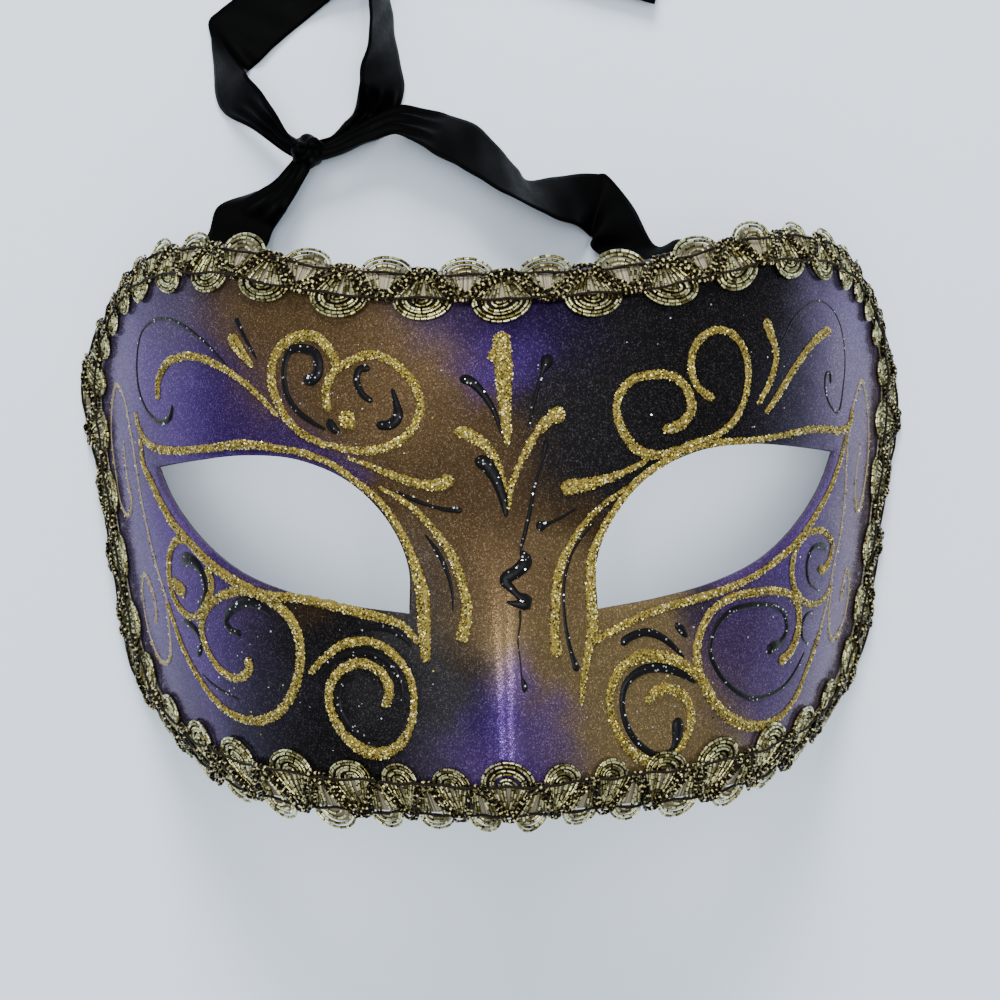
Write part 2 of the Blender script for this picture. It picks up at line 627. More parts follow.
def eye_loop(side):
    upper = spline(EYE_UPPER, EYE_SPACING)
    lower = spline(EYE_LOWER, EYE_SPACING)
    return np.vstack([upper[:-1], lower[:-1]]) * (side, 1)


def in_eye_hole(points):
    return inside(points, eye_loop(1)) | inside(points, eye_loop(-1))


def paint_material():
    material, tree, main = new_material("pearl paint", Metallic=0.5, Roughness=0.16, Specular_IOR_Level=0.08,
                                        Specular_Tint=linear(*GLOSS_COLOUR))
    cells = add(tree, "ShaderNodeTexVoronoi", {"Vector": place(tree), "Scale": GRAIN_CELLS})
    grain = add(tree, "ShaderNodeSeparateColor", {"Color": cells.outputs["Color"]})
    spark = maths(tree, "POWER", grain.outputs[1], SPARK_RARITY)
    base = maths(tree, "MULTIPLY_ADD", grain.outputs[0], *GRAIN_TONE)
    tone = maths(tree, "MULTIPLY_ADD", spark, SPARK_GAIN, base)
    shade = add(tree, "ShaderNodeCombineColor", {0: tone, 1: tone, 2: tone}).outputs[0]
    sprayed = blend(tree, 1.0, attribute(tree, "paint", "Color"), shade, "MULTIPLY")
    fleck = maths(tree, "MULTIPLY", spark, FLECK_SHARE)
    feed(tree, main["Base Color"], blend(tree, fleck, sprayed, linear(*FLECK_COLOUR)))
    feed(tree, main["Normal"], flake_normal(tree, cells, GRAIN_TIP))
    return material


def shell_mesh():
    """The face in fine triangles: places, corners in order to face forward, and distances to a border."""
    rim = spline(OUTLINE[:-1:RIM_SKIPS], RIM_SPACING, closed=True)[:-1]
    loops = [rim, eye_loop(1), eye_loop(-1)]
    borders = place_tree(np.vstack(loops))
    across = np.arange(-SHELL_HALF_WIDTH, SHELL_HALF_WIDTH, SHELL_SPACING)
    rows = np.arange(SHELL_LOW, SHELL_HIGH, SHELL_SPACING * SHELL_ROW_SHARE)
    grid = np.vstack([
        np.stack([across + (k % 2) * SHELL_SPACING / 2, np.full(len(across), v)], 1)
        for k, v in enumerate(rows)
    ])
    clear = np.array([borders.find((s, v, 0))[2] > BORDER_CLEARANCE * SHELL_SPACING for s, v in grid])
    grid = grid[clear & inside(grid, rim) & ~in_eye_hole(grid)]
    edges = []
    for loop in loops:
        start = len(edges)
        edges += [(start + k, start + (k + 1) % len(loop)) for k in range(len(loop))]
    flat = [Vector(p) for p in np.vstack(loops + [grid]).tolist()]
    made, _, faces, *_ = delaunay_2d_cdt(flat, edges, [], 0, SAME_PLACE)
    at = np.array([tuple(p) for p in made])
    faces = np.array(faces)
    centre = at[faces].mean(1)
    faces = faces[inside(centre, rim) & ~in_eye_hole(centre)]
    a, b, c = at[faces[:, 0]], at[faces[:, 1]], at[faces[:, 2]]
    turned = (b - a)[:, 0] * (c - a)[:, 1] - (b - a)[:, 1] * (c - a)[:, 0] < 0
    faces[turned] = faces[turned][:, ::-1]
    return at, faces, np.array([borders.find((s, v, 0))[2] for s, v in at])


def border_sides(faces):
    """The sides of triangles that no other triangle shares."""
    sides = np.vstack([faces[:, [0, 1]], faces[:, [1, 2]], faces[:, [2, 0]]]).tolist()
    known = set(map(tuple, sides))
    return np.array([side for side in sides if (side[1], side[0]) not in known])


def shell_piece(materials):
    """The painted shell: a front with its eye holes, a lining behind it and cut edges between."""
    at, faces, to_edge = shell_mesh()
    front = skin_point(at[:, 0], at[:, 1], np.zeros(len(at)))
    corner = np.cross(front[faces[:, 1]] - front[faces[:, 0]], front[faces[:, 2]] - front[faces[:, 0]])
    normal = np.zeros_like(front)
    for k in range(3):
        np.add.at(normal, faces[:, k], corner)
    normal = unit(normal)
    thickness = SHELL_THICKNESS * (1 - EDGE_THINNING * np.exp(-to_edge / EDGE_THIN_REACH))
    back = front - normal * thickness[:, None]
    border = border_sides(faces)
    rounded = np.unique(border)
    front[rounded] -= BORDER_ROUNDING * normal[rounded]
    count = len(at)
    walls = np.stack([border[:, 1], border[:, 0], border[:, 0] + count, border[:, 1] + count], 1)
    points = on_table(np.vstack([front, back]))
    colours = np.vstack([paint_colours(at[:, 0], at[:, 1])] * 2)
    all_faces = [*faces.tolist(), *(faces[:, ::-1] + count).tolist(), *walls.tolist()]
    kinds = [0] * len(faces) + [1] * len(faces) + [2] * len(walls)
    values = {"paint": colours}
    piece = mesh_piece("shell_painted", points, all_faces, materials, "painted_shell", values, kinds)
    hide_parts("mask_shell")


lining = grained_material("plain lining", scale=500.0, detail=6.0, strength=0.4, depth=0.5,
                          shades=((24, 22, 24), (50, 47, 50)), Roughness=0.85)
cut_edge = grained_material("cut edge", scale=1400.0, detail=4.0, strength=0.6, depth=0.4,
                            shades=((16, 14, 20), (70, 62, 84)), Roughness=0.75)
shell_piece([paint_material(), lining, cut_edge])

# Scrolls in gold glitter: s, v, width
GOLD_STROKES = {
    "left brow curl": (
        (-75, 25.8, 1.2), (-74.3, 29.5, 1.5), (-71, 32.4, 1.6), (-66, 33.4, 1.6), (-60, 32.9, 1.5),
        (-54.5, 30.9, 1.3), (-49.5, 28.1, 1.2), (-45, 24.6, 1.1), (-41.6, 21.2, 0.9),
    ),
    "left outer volute": (
        (-29, 29.2, 1.6), (-30, 31.8, 1.6), (-32.6, 34.9, 1.8), (-36, 35.4, 1.9), (-39.8, 34, 1.8),
        (-42.2, 30.5, 1.7), (-42.3, 26.5, 1.7), (-41, 22.8, 1.6), (-38.6, 19.5, 1.5), (-35.4, 17.2, 1.3),
        (-31.5, 15.6, 1.1), (-28, 14.8, 1),
    ),
    "left inner volute": (
        (-31.3, 21.5, 1.4), (-31.2, 26, 1.6), (-29.4, 29, 1.6), (-25.8, 30.6, 1.5), (-22.6, 31.5, 1.6),
        (-18.4, 29.7, 1.5), (-15.2, 26.3, 1.5), (-13.8, 22, 1.5), (-15.6, 18, 1.5), (-19.2, 15.4, 1.5),
        (-24, 14.4, 1.4), (-28.5, 14.9, 1.2), (-31.5, 15.8, 0.9),
    ),
    "left volute ball": ((-28.8, 19.2, 3.2), (-27.5, 20, 4), (-26.2, 20.9, 3.2)),
    "left branch": (
        (-28, 13.3, 0.6), (-24.5, 12.1, 0.9), (-20.5, 10.4, 1.2), (-16.8, 9, 1.5), (-13, 8.1, 1.8),
        (-10.2, 8.4, 2.3), (-8.6, 9.3, 2.8),
    ),
    "left upper lid": (
        (-85.6, 24, 0.7), (-84, 20.3, 1.1), (-81, 17.9, 1.4), (-76, 16.4, 1.5), (-69, 15.9, 1.5),
        (-58, 16.1, 1.5), (-50, 16.4, 1.7), (-43, 15.6, 1.3), (-36, 14.2, 1.2), (-31, 12.2, 1.2),
        (-27, 9.4, 1.2), (-22.5, 5.8, 1.2), (-18.8, 0.5, 1.4), (-16.4, -5, 1.7), (-15, -11, 2.5),
        (-15, -17, 2.3), (-15, -22.8, 1.8),
    ),
    "left lower lid": (
        (-84, 19, 1), (-84, 14.2, 1.1), (-81, 10.3, 1.6), (-77.8, 6.3, 1.8), (-73, 1.8, 1.9),
        (-68, -1.5, 1.9), (-62, -5.4, 2), (-55, -8.8, 2), (-48, -11, 1.8), (-41, -11.5, 1.6),
        (-35.4, -12.4, 1.7), (-29, -13.8, 1.8), (-23.5, -15, 1.6), (-19.5, -16.3, 1.3), (-16, -19.5, 1.2),
    ),
    "left inner branch": (
        (-22.4, 8, 0.6), (-19, 6.2, 0.9), (-15.4, 3.6, 1.1), (-12.2, 0, 1.3), (-9.4, -4, 1.6),
        (-7.4, -9.6, 1.6), (-6.8, -14, 1.8), (-7.6, -17.5, 2.2), (-8.2, -19.2, 2.2),
    ),
    "left small ring": (
        (-69.4, -0.9, 1.6), (-73, -1, 1.6), (-76.4, -3.4, 1.4), (-78.3, -8, 1.4), (-77.4, -12, 1.4),
        (-74, -14.9, 1.4), (-69.5, -15.4, 1.5), (-65.2, -12.9, 1.6), (-62.5, -9.5, 1.5), (-63.2, -6, 1.3),
    ),
    "left small hook": ((-76.7, -8.2, 1.2), (-75.1, -9.9, 2.6), (-73.6, -10.5, 2.8), (-74.6, -11.6, 2)),
    "left big scroll": (
        (-54.8, -22.6, 2.4), (-54.5, -24.6, 1.9), (-57, -26.2, 1.6), (-60.5, -26.5, 1.5), (-65, -24.3, 1.4),
        (-68, -20, 1.4), (-67.6, -16.3, 1.5), (-64, -13.2, 1.5), (-59, -11.1, 1.7), (-53, -10.3, 1.8),
        (-47, -11.9, 1.9), (-42.6, -15.2, 2), (-41, -19.5, 2), (-42, -25, 1.9), (-45.6, -30.4, 1.9),
        (-51, -33.6, 1.8), (-58, -34.3, 1.6), (-65.5, -32.4, 1.4), (-72.4, -27.5, 1.2), (-77.4, -21.5, 1.1),
        (-81, -13, 0.9),
    ),
    "left cheek curl": (
        (-39.6, -25.2, 1.1), (-36, -22.4, 1.3), (-31, -19.6, 1.6), (-26, -19.3, 1.6), (-21.6, -21.3, 1.5),
        (-18.4, -25.6, 1.3), (-18, -30.6, 1.3), (-19.6, -35.4, 1.6), (-23.2, -38.6, 2), (-28.2, -39.1, 2.3),
        (-32.8, -36.6, 2), (-35.7, -31.6, 1.7), (-35.2, -27.3, 1.7), (-31.8, -24, 1.8), (-27.4, -23.2, 1.8),
        (-23.9, -25, 1.8), (-22.8, -28, 2), (-24, -31, 1.6),
    ),
    "left drop": ((-51.4, 36.6, 2.2), (-50.3, 34.8, 2.4), (-48.6, 32.6, 1.6), (-46.6, 30.4, 1)),
    "centre drop": (
        (0.8, 34.8, 2.8), (0.8, 32.2, 3.3), (1, 28.5, 3.2), (1, 24, 2.5), (1.1, 20, 1.9), (1.3, 17, 1.6),
        (1.3, 14.3, 0.6),
    ),
    "centre bump": ((-1.8, 30, 1.2), (-0.6, 30.6, 2.2), (0.6, 31.3, 1.6)),
    "left sprig": (
        (-8, 17.6, 1.4), (-5.6, 16.8, 2.2), (-3.2, 15.2, 1.9), (-1.2, 12.9, 1.5), (0.2, 10, 1),
        (0.9, 6.5, 0.6),
    ),
    "right sprig": (
        (11.7, 20.2, 3), (10.4, 19.9, 2.9), (8.6, 18.9, 2.1), (6.4, 16.5, 1.6), (4.6, 13.6, 1.3),
        (3, 10.4, 1.1), (1.8, 7.4, 1.1), (1.1, 3.4, 0.7),
    ),
    "right volutes": (
        (30.2, 17, 1.8), (33.4, 17.7, 2), (36, 20.4, 1.8), (35.6, 23.4, 1.8), (33, 26.2, 1.6),
        (29, 26.9, 1.6), (24.6, 26.1, 1.5), (21.8, 23.3, 1.4), (21.3, 19.8, 1.4), (23.1, 15.7, 1.6),
        (26.2, 13, 1.7), (30.6, 12.7, 1.5), (36.2, 14.4, 1.3), (41.6, 16, 1.2), (45.8, 18.9, 1.3),
        (48.2, 23.2, 1.3), (48.8, 28.2, 1.4), (47.2, 32.5, 1.4), (43.6, 35, 1.4), (39.6, 34.5, 1.4),
        (36.8, 31.9, 1.5), (36, 28, 1.4), (37.3, 24.8, 1.3), (40.7, 22.4, 1.7),
    ),
    "right branch": (
        (10.8, 7, 2.6), (12.8, 7.2, 2.6), (15.6, 7.6, 2.2), (19, 8.4, 1.6), (22.8, 9.7, 1.1),
        (27.3, 11.7, 0.8),
    ),
    "right upper lid": (
        (14.7, -31.2, 0.6), (15, -27, 1.1), (15.8, -22.6, 1.5), (16.8, -17.5, 2), (16.3, -11, 1.9),
        (16.6, -5, 1.8), (18.6, -0.5, 1.4), (21.2, 3.4, 1.4), (25, 7.8, 1.3), (30.4, 11.2, 1.3),
        (36.4, 13.8, 1.4), (43, 14.7, 1.3), (50.2, 15, 1.2), (58, 15.9, 1.1), (66, 17, 1.3), (74, 17.3, 1.4),
        (81, 17.1, 1.5), (85.4, 18.6, 1.3), (86.3, 21.8, 0.9),
    ),
    "right lower lid": (
        (16.8, -20, 1.2), (20.7, -18.4, 1.4), (26, -16.2, 1.3), (31.6, -14.6, 1.3), (38, -13.4, 1.5),
        (45.5, -11.8, 1.5), (53, -9.6, 1.3), (60, -6.5, 1.4), (66, -3.3, 1.5), (71.8, 1.2, 1.4),
        (77, 5.9, 1.2), (81, 11.4, 1), (84, 16.4, 0.9),
    ),
    "right inner branch": (
        (9.8, -22.2, 2.2), (9.4, -19, 1.8), (9.5, -13.5, 1.6), (10.2, -7.6, 1.6), (12, -3.6, 1.3),
        (15, 0.6, 1.1), (18.6, 3.9, 1), (23.8, 7.2, 0.7),
    ),
    "right small ring": (
        (75, -9.4, 1.8), (77.2, -9.6, 1.8), (79.5, -7.9, 1.2), (80.2, -5, 1.1), (75.7, -2.3, 1.3),
        (69.5, -2.3, 1.3), (65.4, -4.5, 1.4), (63.9, -7.8, 1.3), (64.5, -11.2, 1.3), (67.2, -14.2, 1.4),
        (72.7, -16.1, 1.3), (78.2, -15.5, 0.9), (81.8, -12.9, 0.6),
    ),
    "right big scroll": (
        (62.8, -26.3, 2.2), (66, -25, 1.9), (68.3, -22, 1.7), (68.4, -18, 1.5), (66.4, -15, 1.4),
        (62, -13.2, 1.5), (54, -12.8, 1.6), (46, -13.7, 1.6), (41.6, -16.2, 1.6), (39.3, -21, 1.7),
        (39.8, -26, 1.8), (43, -31, 1.9), (48, -35, 2), (54, -37.3, 2), (60, -37.9, 1.8), (66.4, -36.8, 1.4),
        (71.6, -33.6, 1.1), (75.6, -27.8, 1), (79, -21.5, 0.8),
    ),
    "right cheek curl": (
        (44.4, -31.9, 1.2), (41, -28.2, 1.7), (37, -25.5, 1.8), (32, -23.6, 2.1), (26.7, -23.2, 2.2),
        (22.8, -25, 1.9), (20.7, -29, 1.6), (20.9, -33, 1.3), (23.1, -37.2, 1.6), (27, -41, 1.8),
        (31.5, -42.4, 1.6), (35.8, -41.1, 1.5), (38.3, -38, 1.7), (39, -34.8, 1.8), (37.6, -31.6, 1.7),
        (34.4, -29.4, 1.9), (30.8, -29.4, 2), (28.3, -31.4, 1.8),
    ),
    "right short spray": (
        (53.2, 37.4, 2), (54.6, 34.8, 1.8), (56, 31.6, 1.3), (55.9, 29, 1.3), (54.2, 25.4, 1.3),
        (51.3, 21.5, 0.9),
    ),
    "right long spray": (
        (74.4, 36.4, 2.2), (70, 34.7, 1.7), (65.4, 31.8, 1.5), (60.8, 27.7, 1.4), (56.5, 23.1, 1.3),
        (53.4, 20, 0.9),
    ),
}
# Scrolls at the sides in thin, pale gold with little glitter: s, v, width
THIN_STROKES = {
    "left temple loop": (
        (-93.4, 18.9, 0.5), (-93.4, 11.3, 0.6), (-92.6, 6.2, 0.9), (-95.7, 3.8, 1), (-98.9, 6.2, 0.8),
        (-99.7, 12.4, 0.6), (-99.8, 21.2, 0.6), (-94.9, 29.9, 0.9), (-91.4, 27.4, 0.6), (-88.9, 19.7, 0.6),
        (-87, 7.1, 0.6), (-84.4, -4.3, 0.7), (-81, -13, 0.8),
    ),
    "left low loop": (
        (-89.1, -17.5, 1.3), (-87.6, -13.4, 0.8), (-88.9, -9.4, 0.8), (-91.2, -7.7, 0.9),
        (-93.8, -11.1, 0.7), (-94.5, -19.2, 0.7), (-90.4, -25.1, 1.1), (-84.6, -23.8, 0.9),
        (-82.3, -17.7, 0.7), (-81.6, -12.4, 0.7),
    ),
    "right temple loop": (
        (79, -21.5, 0.8), (81.1, -16, 0.7), (82.3, -9, 0.6), (84.2, -3.6, 0.6), (85, 4.9, 0.6),
        (84.6, 13, 0.6), (85.9, 19.9, 0.6), (88.7, 24.5, 0.7), (91.6, 27.2, 0.9), (95.1, 22.7, 0.7),
        (97.5, 15, 0.6), (96.9, 7.9, 0.7), (93.8, 1.1, 1.1), (91, 4.3, 0.7), (90.9, 9.4, 0.6),
        (92.2, 15, 0.5),
    ),
    "right low loop": (
        (89.2, -16.8, 1.2), (89.1, -13.3, 0.8), (90.5, -10.1, 0.9), (93.2, -13.5, 0.7), (92.9, -20.1, 0.7),
        (87.3, -24, 1.1), (83.4, -20.5, 0.7), (82.4, -15.9, 0.6), (82.5, -12, 0.5),
    ),
}
# Scrolls in black liner: s, v, width
BLACK_STROKES = {
    "left temple arc": (
        (-52.8, 31, 0.3), (-56, 33.8, 0.6), (-61.2, 37.5, 0.8), (-65, 39.4, 0.9), (-69.5, 40.9, 0.8),
        (-75.6, 41, 0.7), (-80.6, 39, 0.6), (-83.3, 34, 0.6), (-83.2, 28.6, 0.7), (-80, 24, 0.8),
        (-75, 21.6, 1.3), (-71, 22.3, 1.5), (-69.6, 24.6, 0.9),
    ),
    "left drop": ((-50.2, 39.6, 1.6), (-48.8, 37, 1), (-45.6, 31.7, 0.5)),
    "left outer comma": (
        (-35.7, 28, 2), (-34.6, 27.4, 2.4), (-33.4, 28, 2.4), (-32.8, 29.4, 2.2), (-33.2, 32, 1.9),
        (-35.6, 33.1, 1.8), (-38.4, 32.8, 1.5), (-39.8, 29.5, 1.2), (-39.4, 25, 1.3), (-37.4, 22, 1.2),
        (-34.6, 19.9, 1), (-31.8, 18.4, 0.5),
    ),
    "left ball comma": ((-31.3, 20.4, 1.4), (-31, 19.5, 1.9), (-30, 18.3, 1.6), (-29, 17.8, 0.6)),
    "left inner hook": (
        (-22.8, 29, 1.2), (-24.8, 28.9, 1.5), (-25.5, 27.2, 1.4), (-24.6, 24.6, 1.3), (-22.6, 23, 1.1),
    ),
    "left inner comma": (
        (-19, 25.4, 0.6), (-18.3, 22.6, 1.4), (-18.1, 20.4, 2), (-19.4, 19, 2), (-22.2, 18.9, 1.6),
    ),
    "left branch": ((-19, 7.2, 0.4), (-15.8, 5.6, 0.8), (-12.6, 4.4, 0.6), (-9.6, 3.7, 0.9), (-7, 3.6, 1.2)),
    "upper comma": ((-6.8, 26.7, 1.7), (-5, 26.2, 1.8), (-2.9, 24.1, 1.4), (-1, 21, 1.1), (0.4, 16.7, 0.5)),
    "lower comma": (
        (-4.6, 12.1, 2.2), (-2.8, 11.7, 2.8), (-1.2, 9.6, 2.4), (-0.1, 7, 2), (0.5, 4.8, 1.7),
        (0.8, 2.2, 0.7),
    ),
    "right stem": ((9, 30.6, 2.5), (8.7, 29.4, 2.5), (7.9, 27.6, 0.9), (6.4, 22.8, 0.7), (5.1, 17.8, 0.4)),
    "nose thread": (
        (8.4, 15.5, 1.2), (7.6, 12, 0.5), (6.2, 8, 0.6), (5.2, 3.6, 0.8), (4, -1, 0.8), (3.2, -3.6, 0.6),
    ),
    "nose zigzag": (
        (3.2, -3.6, 0.7), (4.2, -5.4, 2.5), (2.6, -7.1, 2.5), (0.2, -8.6, 2.2), (1.5, -10.2, 1.5),
        (2.6, -11.3, 1.3), (4.1, -12.6, 3), (2.4, -12.8, 1.4), (0.4, -12.4, 0.5),
    ),
    "nose tail": (
        (2.9, -13.8, 0.6), (2.9, -16, 0.4), (2.4, -19, 0.3), (2.8, -22.9, 0.3), (3, -25.4, 0.4),
        (3.5, -27, 1.3), (3.4, -28, 0.9),
    ),
    "nose dot": ((6.2, 0.2, 2), (6.9, 0.5, 2.2), (8.4, 0.9, 0.8), (11, 2, 0.6), (13.6, 3.4, 0.4)),
    "left inner thread": (
        (-14, -0.5, 0.4), (-11.6, -4, 0.9), (-10, -8, 0.8), (-9.4, -11.4, 0.5), (-9.5, -14, 0.3),
    ),
    "left small comma": (
        (-72, -4.9, 2.6), (-69.6, -4.6, 3), (-66.6, -5.6, 2.3), (-65, -7.6, 1.9), (-64.6, -9.7, 1.7),
        (-65.9, -12, 1.5), (-68.4, -13.1, 0.8),
    ),
    "left second comma": (
        (-75.3, -16.4, 1.2), (-72.3, -17.2, 1.8), (-70, -18.6, 1.4), (-69.4, -20.3, 1), (-70.6, -22.2, 1.6),
        (-71.6, -23, 1),
    ),
    "left chain": ((-71.2, -26.3, 0.4), (-67.5, -28.2, 0.7), (-63.4, -29.6, 0.8), (-59.3, -30.6, 0.5)),
    "left cheek ring": (
        (-29.1, -25.4, 0.8), (-31.9, -26.3, 1.2), (-33.4, -28.6, 1.3), (-33.6, -31.5, 1.2),
        (-31.8, -34.5, 1.3), (-28.5, -36.3, 1.2), (-25.6, -36.6, 0.6),
    ),
    "left cheek arc": (
        (-37.4, -25.2, 0.5), (-33.6, -22.4, 1.2), (-29.6, -21.3, 1.4), (-25.2, -21.5, 1.3),
        (-21.6, -23.9, 1.1), (-20.2, -27.2, 0.8), (-20.4, -31, 0.5),
    ),
    "left lid comma": (
        (-30.1, -17.8, 0.6), (-26.6, -16.9, 1.2), (-22.9, -16.8, 1.5), (-19.6, -18.2, 1.3),
        (-17.6, -20.2, 0.6),
    ),
    "left big comma": (
        (-55.6, -18.3, 1.6), (-58.6, -17.6, 1.6), (-59.6, -16, 1.4), (-57.6, -13.9, 2), (-53, -12.4, 2.4),
        (-49.3, -13.2, 1.8), (-46.4, -15, 0.9),
    ),
    "right inner thread": (
        (17, 1, 0.4), (13, -4, 0.5), (11.3, -9.2, 0.6), (11.2, -14, 0.6), (11.9, -19, 0.8), (13, -22.8, 1),
        (13.9, -25, 1.7),
    ),
    "right cheek arc": (
        (22.6, -20.8, 1.9), (24.2, -19.7, 1.7), (27.8, -18.9, 1.6), (31.4, -20.1, 1.4), (34.4, -22.2, 1),
        (36.4, -23.9, 0.5),
    ),
    "right cheek ring": (
        (39.5, -28.6, 0.6), (36.4, -26.9, 1.4), (32, -25.5, 1.8), (27.4, -25.6, 1.9), (24, -27.8, 1.6),
        (23.3, -31.4, 1.3), (24.6, -35.6, 1.3), (27.8, -39.2, 1.4), (32.2, -41.2, 1.3), (35.2, -40.2, 1.3),
        (36.1, -37.4, 2.7), (35.6, -34.6, 2.6),
    ),
    "right cheek dash": ((33.9, -17.6, 1.2), (35.4, -18.8, 1.7), (36.8, -20.2, 0.8)),
    "right big ring": (
        (58.2, -23.9, 2.2), (60.2, -23.4, 2.6), (62.6, -22.6, 1.6), (64.2, -20.6, 1.2), (63.2, -17.8, 1.1),
        (59.6, -15.8, 1.1), (52, -15.2, 1.2), (46.4, -16.2, 1.2), (43, -19.4, 1.2), (42.5, -23, 1.2),
        (45, -27, 1.1), (49.6, -30.4, 1.1), (55, -32.5, 1.2), (61, -32.4, 1), (66.2, -31, 0.9),
        (70, -28.4, 0.8), (72.8, -25.2, 0.5),
    ),
    "right temple arc": (
        (54.7, 29.4, 0.3), (57.9, 33.5, 0.5), (61.9, 38.3, 0.5), (69.2, 41.7, 0.4), (75.5, 40.6, 0.4),
        (79.9, 37.1, 0.4), (81.9, 31.6, 0.4), (81.2, 25.6, 0.5), (79.2, 20.7, 0.7), (75.2, 22.1, 0.6),
        (73, 25, 0.6), (73.3, 27.9, 0.7), (74.9, 28.1, 0.9), (75.3, 26.1, 0.9),
    ),
    "right small comma": (
        (77.7, -5.6, 1.4), (74.3, -5, 1.5), (71.1, -5.6, 1.2), (69.6, -8, 1), (70.9, -11.4, 0.9),
        (75.8, -13.7, 0.5),
    ),
    "right second comma": (
        (74.6, -17.4, 0.5), (71.4, -18.2, 1), (70.2, -19.8, 1), (71, -22.1, 0.9), (73.8, -23.8, 0.5),
    ),
}
# A stroke across: share of its half width, height of its rounded top, and how ragged it is there
STROKE_ACROSS = np.array([-1, -0.7, 0, 0.7, 1])
STROKE_TOP = np.array([-0.15, 0.72, 1, 0.72, -0.15])
STROKE_RAGGED = np.array([1, 0.5, 0, 0.5, 1])
STROKE_LEAST_WIDTH = 0.25
STROKE_END_SHARE = 0.04
# Flakes: spacing of the places they may take along a stroke, and how many there are to a square millimetre
SCATTER_SPACING = 0.1
PACKED_GLITTER = 15
SPREAD_GLITTER = 4
SPECKS_IN_LINER = 0.45
# Glitter: reach across a stroke, height of its dome, lifts, sizes and tilt, then the strays beside strokes
GLITTER_REACH = 1.04
GLITTER_DOME = 0.56
GLITTER_LIFTS = (0.04, 0.16)
GLITTER_SIZES = (0.24, 0.46)
GLITTER_TILT = 0.42
GLITTER_PER_STRAY = 150
STRAY_REACH = 1.6
STRAY_LIFT = 0.06
# Glitter colours with the share of the flakes that has each
GLITTER_SHADES = ((198, 174, 74), (255, 240, 142), (134, 112, 34), (50, 39, 9), (255, 252, 224))
GLITTER_SHARES = (0.32, 0.2, 0.22, 0.21, 0.05)
# Specks: reach across a stroke, height of its dome, lifts there and on the paint, sizes, tilt
SPECK_REACH = 0.8
SPECK_DOME = 0.5
SPECK_LIFT = 0.06
LOOSE_SPECK_LIFT = 0.05
SPECK_SIZES = (0.22, 0.46)
SPECK_TILT = 0.3
SPECK_ROUGHNESS = 0.5
# Loose specks: s, v, spread, count
LOOSE_SPECKS = (
    (34, 24, 12, 20), (-28, -30, 6, 20), (-55, -20, 7, 16), (32, -32, 7, 14), (58, -24, 8, 14),
    (-30, 26, 8, 12),
)


def stroke_line(rows, spacing):
    """Evenly spaced places along a stroke with their sideways way and half width, round at both ends."""
    s, v, width = spline(rows, spacing).T
    along = unit(np.gradient(np.stack([s, v], 1), axis=0))
    way = np.arange(len(s)) * spacing
    end = np.minimum(way, way[-1] - way)
    half_width = np.maximum(width, STROKE_LEAST_WIDTH) / 2
    round_end = np.sqrt(np.clip(1 - (1 - np.minimum(end / half_width, 1)) ** 2, STROKE_END_SHARE, 1))
    return np.stack([s, v], 1), np.stack([-along[:, 1], along[:, 0]], 1), half_width * round_end


def stroke_piece(name, strokes, material, spacing, height_share, ragged):
    """Raised strokes on the paint, each a strip with a rounded top."""
    columns = len(STROKE_ACROSS)
    strips = []
    lifts = []
    for rows in strokes.values():
        middle, side, half_width = stroke_line(rows, spacing)
        count = len(middle)
        uneven = 1 + ragged * rng.normal(size=(count, 1)) * STROKE_RAGGED
        reach = half_width[:, None] * STROKE_ACROSS * uneven
        a = np.arange(count - 1)[:, None] * columns + np.arange(columns - 1)[None]
        quads = np.stack([a + 1, a + columns + 1, a + columns, a], -1).reshape(-1, 4)
        strips.append(((middle[:, None] + side[:, None] * reach[..., None]).reshape(-1, 2), quads))
        lifts.append((2 * height_share * half_width[:, None] * STROKE_TOP).ravel())
    flat, faces = joined(strips)
    points = on_table(skin_point(flat[:, 0], flat[:, 1], np.concatenate(lifts)))
    mesh_piece(name, points, faces, [material], "painted_shell")


def scatter(rows, density, least, reach):
    """Random places on a stroke, the height of a dome over it at each, and the stroke's middle line."""
    middle, side, half_width = stroke_line(rows, SCATTER_SPACING)
    count = int(density * half_width.sum() * 2 * SCATTER_SPACING) + least
    at = rng.choice(len(middle), count, p=half_width / half_width.sum())
    u = rng.uniform(-reach, reach, count)
    dome = half_width[at] * np.maximum(0, 1 - u ** 2)
    return middle[at] + side[at] * (half_width[at] * u)[:, None], dome, middle


def clear_of_eyes(flat, lift):
    """The places, and their lifts, that don't lie in an eye hole."""
    flat = np.vstack(flat)
    kept = ~in_eye_hole(flat)
    return flat[kept], np.concatenate(lift)[kept]


def flakes(flat, lift, size, tilt):
    """Small square flakes at places on the face, each turned and tipped at random: points and quads."""
    count = len(flat)
    centre = skin_point(flat[:, 0], flat[:, 1], lift)
    normal = unit(face_normal(flat[:, 0], flat[:, 1]) + tilt * rng.normal(size=(count, 3)))
    first = unit(np.cross(normal, rng.normal(size=(count, 3))))
    second = np.cross(normal, first)
    reach = size[:, None] / 2
    corners = [centre + way * reach for way in (first, second, -first, -second)]
    return on_table(np.stack(corners, 1).reshape(-1, 3)), np.arange(count * 4).reshape(-1, 4)


